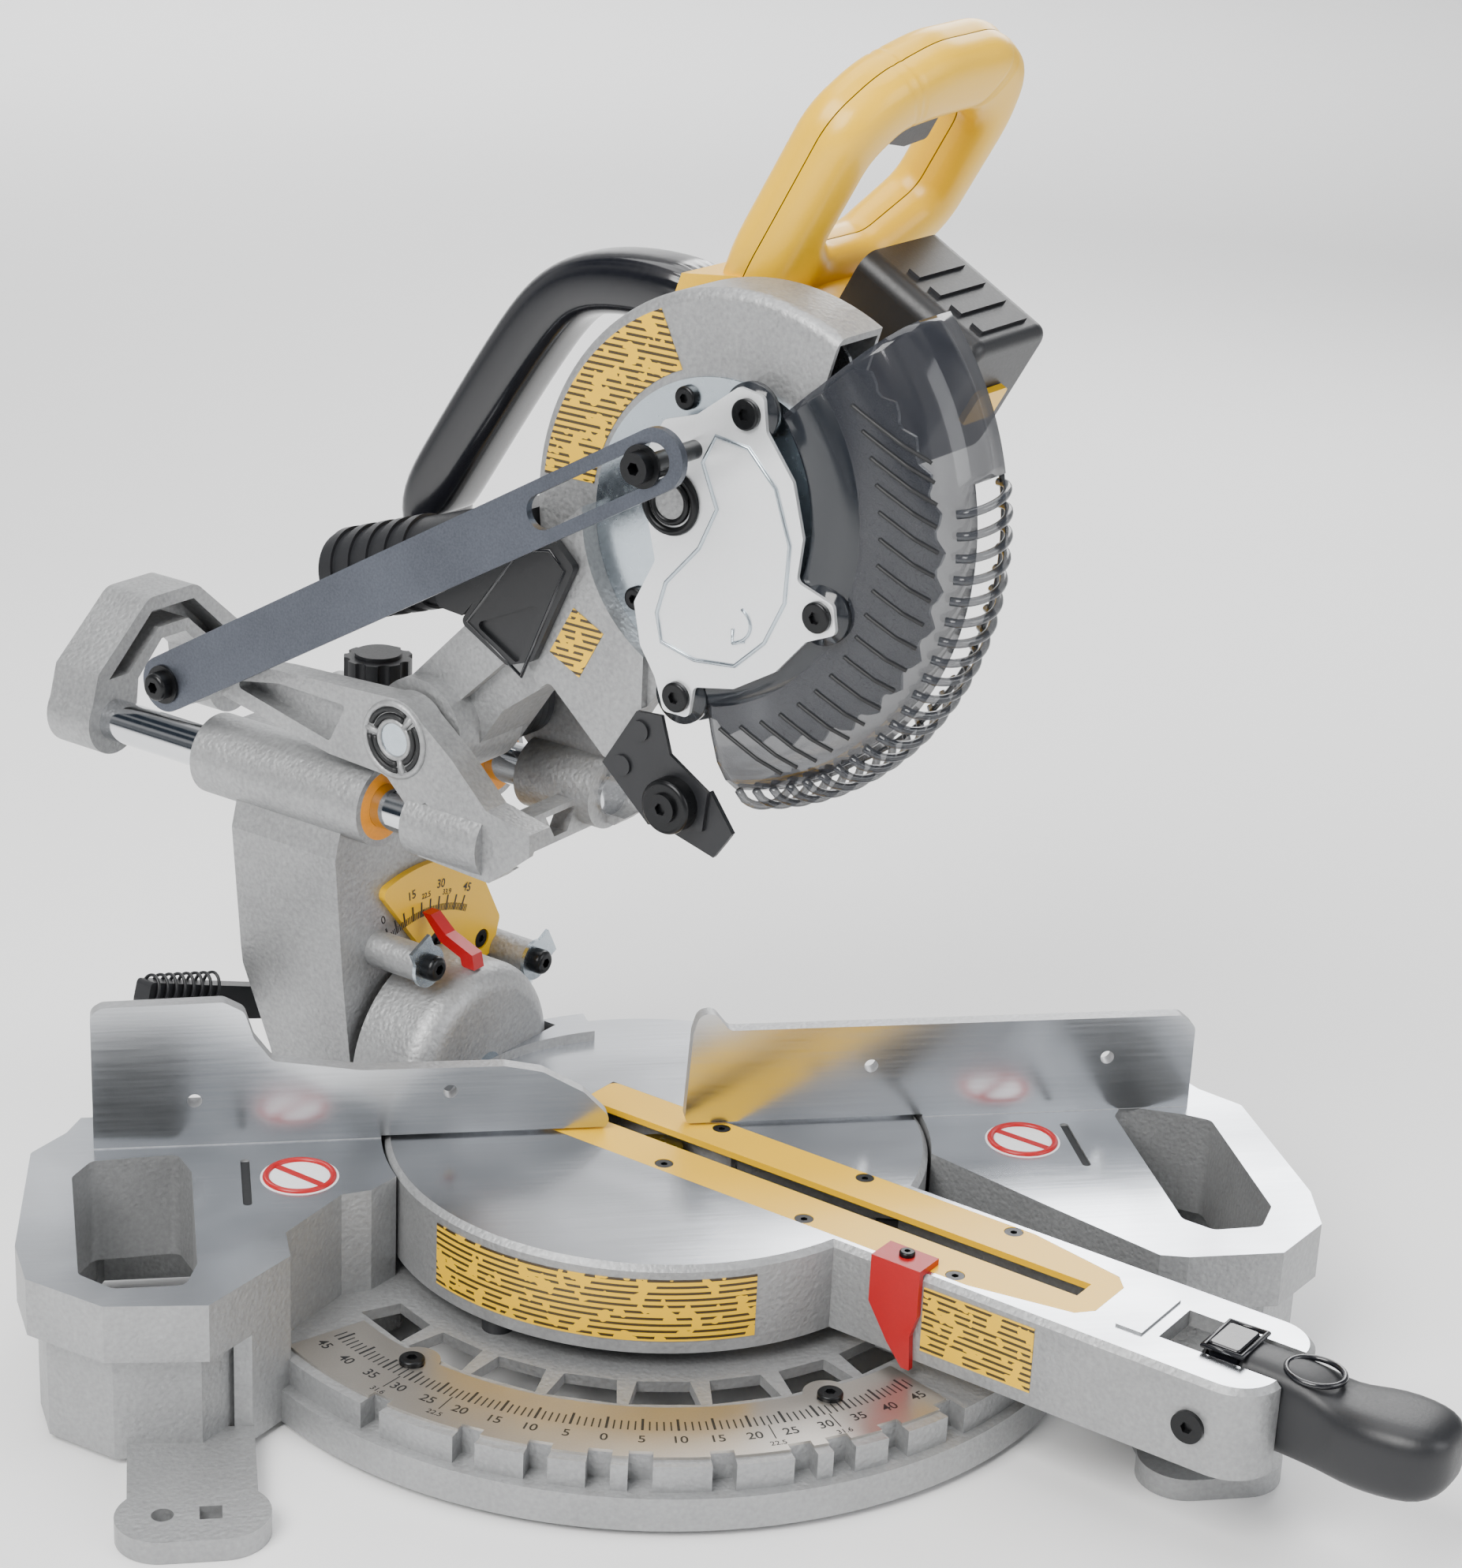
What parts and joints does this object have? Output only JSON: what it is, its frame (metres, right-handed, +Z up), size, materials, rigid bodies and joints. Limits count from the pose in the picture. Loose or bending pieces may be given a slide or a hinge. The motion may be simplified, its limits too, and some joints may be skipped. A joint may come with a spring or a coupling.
{
  "type": "sliding miter saw",
  "caption": "Battery sliding compound miter saw: turntable arm on a winged base, tilting trunk, twin slide rails, pivoting guarded head with D-handle.",
  "frame": {"origin": "on the bench surface, under the miter pivot", "axes": "+X to the operator's right along the fences, +Y away from the operator, +Z up"},
  "size_m": [0.5707, 0.5601, 0.5697],
  "materials": {
    "cast_aluminium": "grainy as-cast",
    "machined_aluminium": "machined bright",
    "scale_steel": "satin",
    "zinc_steel": "zinc plated",
    "chromed_steel": "polished",
    "black_screw": "black oxide",
    "blued_steel": "satin",
    "blade_steel": "ground",
    "yellow_plastic": "satin",
    "black_plastic": "satin",
    "gloss_black": "semi gloss",
    "smoke_clear": "clear, smoke tinted",
    "red_plastic": "satin",
    "orange_plastic": "satin",
    "label_yellow": "gloss",
    "spring_steel": "dull"
  },
  "bodies": {
    "base": {"base_casting": "cast_aluminium", "left_fence": "machined_aluminium", "right_fence": "machined_aluminium", "fence_bolts": "black_screw", "miter_scale_plate": "scale_steel", "scale_screws": "black_screw", "wing_discs": "red_plastic", "glide_pads": "black_plastic", "miter_pivot_bolt": "zinc_steel"},
    "table": {"turntable": "machined_aluminium", "kerf_plate": "yellow_plastic", "table_screws": "black_screw", "miter_cursor": "red_plastic", "table_labels": "label_yellow", "bevel_support": "cast_aluminium", "bevel_pointer": "red_plastic", "bevel_pivot_pin": "zinc_steel", "bevel_stop_bolt": "zinc_steel", "lever_pivot_screw": "zinc_steel"},
    "lock_lever": {"miter_lock_lever": "black_plastic"},
    "button": {"detent_button": "black_plastic"},
    "plunger": {"detent_plunger": "zinc_steel"},
    "trunk": {"rail_housing": "cast_aluminium", "rail_bushings": "zinc_steel", "rail_wipers": "orange_plastic", "bevel_scale": "yellow_plastic", "bevel_scale_screws": "black_screw", "bevel_stop_brackets": "zinc_steel", "bevel_stop_screws": "black_screw"},
    "bevel_lever": {"bevel_lock_lever": "black_plastic"},
    "rail_knob": {"rail_lock_knob": "black_plastic"},
    "carriage": {"slide_rails": "chromed_steel", "carriage_yoke": "cast_aluminium", "rear_cap": "cast_aluminium", "head_pivot_pin": "zinc_steel", "link_rear_screw": "zinc_steel", "return_spring": "spring_steel"},
    "link": {"link_bar": "blued_steel"},
    "head": {"head_casting": "cast_aluminium", "guard_cover_plate": "zinc_steel", "cover_plate_screws": "black_screw", "motor_housing": "yellow_plastic", "motor_can": "black_plastic", "battery_pack": "black_plastic", "handle_front_half": "yellow_plastic", "handle_rear_half": "yellow_plastic", "carry_handle": "gloss_black", "dust_tube": "black_plastic", "dust_chute": "black_plastic", "deflector_plate": "black_plastic", "guard_roller": "black_screw", "head_labels": "label_yellow"},
    "trigger": {"trigger": "black_plastic"},
    "latch": {"battery_latch": "yellow_plastic"},
    "blade": {"saw_blade": "blade_steel", "blade_spindle": "zinc_steel"},
    "guard": {"lower_guard_shell": "smoke_clear", "guard_hub_plate": "zinc_steel", "guard_screws": "zinc_steel", "link_front_screw": "zinc_steel"}
  },
  "joints": [
    {"name": "miter", "type": "hinge", "parent": "base", "child": "table", "pos_m": [0, 0, 0], "axis": [0, 0, 1], "range_deg": [-91, 1]},
    {"name": "lock_lever", "type": "hinge", "parent": "table", "child": "lock_lever", "pos_m": [0.20365, -0.20365, 0.057], "axis": [0.7071, 0.7071, 0], "range_deg": [-12, 0]},
    {"name": "detent_button", "type": "slide", "parent": "lock_lever", "child": "button", "axis": [0, 0, -1], "range_m": [0, 0.003], "stiffness_N_per_m": 600, "springref_m": -0.001},
    {"name": "detent_plunger", "type": "slide", "parent": "table", "child": "plunger", "axis": [0.7071, -0.7071, 0], "range_m": [0, 0.004]},
    {"name": "bevel", "type": "hinge", "parent": "table", "child": "trunk", "pos_m": [0, 0, 0.079], "axis": [0.7071, -0.7071, 0], "range_deg": [0, 35]},
    {"name": "bevel_lever", "type": "hinge", "parent": "trunk", "child": "bevel_lever", "pos_m": [-0.14708, 0.14708, 0.079], "axis": [0.7071, -0.7071, 0], "range_deg": [-30, 0]},
    {"name": "rail_knob", "type": "hinge", "parent": "trunk", "child": "rail_knob", "pos_m": [-0.11597, 0.14425, 0.247], "axis": [0, 0, 1], "range_deg": [0, 180]},
    {"name": "slide", "type": "slide", "parent": "trunk", "child": "carriage", "axis": [0.7071, -0.7071, 0], "range_m": [0, 0.066]},
    {"name": "pitch", "type": "hinge", "parent": "carriage", "child": "head", "pos_m": [-0.0792, 0.0792, 0.254], "axis": [0.7071, 0.7071, 0], "range_deg": [0, 67], "stiffness_Nm_per_rad": 5, "springref_deg": -148.97},
    {"name": "link", "type": "hinge", "parent": "carriage", "child": "link", "pos_m": [-0.16964, 0.16964, 0.2524], "axis": [0.7071, 0.7071, 0], "range_deg": [0, 39]},
    {"name": "blade", "type": "hinge", "parent": "head", "child": "blade", "pos_m": [0.02616, -0.02616, 0.369], "axis": [0.7071, 0.7071, 0], "continuous": true},
    {"name": "guard", "type": "hinge", "parent": "head", "child": "guard", "pos_m": [0.01061, -0.01061, 0.3826], "axis": [0.7071, 0.7071, 0], "range_deg": [-106, 0]},
    {"name": "trigger", "type": "slide", "parent": "head", "child": "trigger", "axis": [0.3417, -0.3417, 0.8755], "range_m": [0, 0.005], "stiffness_N_per_m": 700, "springref_m": -0.001},
    {"name": "battery_latch", "type": "slide", "parent": "head", "child": "latch", "axis": [-0.3417, 0.3417, -0.8755], "range_m": [0, 0.003], "stiffness_N_per_m": 600, "springref_m": -0.001}
  ],
  "couplings": [
    {"joint": "detent_plunger", "follows": "detent_button", "ratio": 1.3333},
    {"joint": "link", "follows": "pitch", "ratio": 0.56},
    {"joint": "guard", "follows": "pitch", "ratio": -1.55}
  ]
}
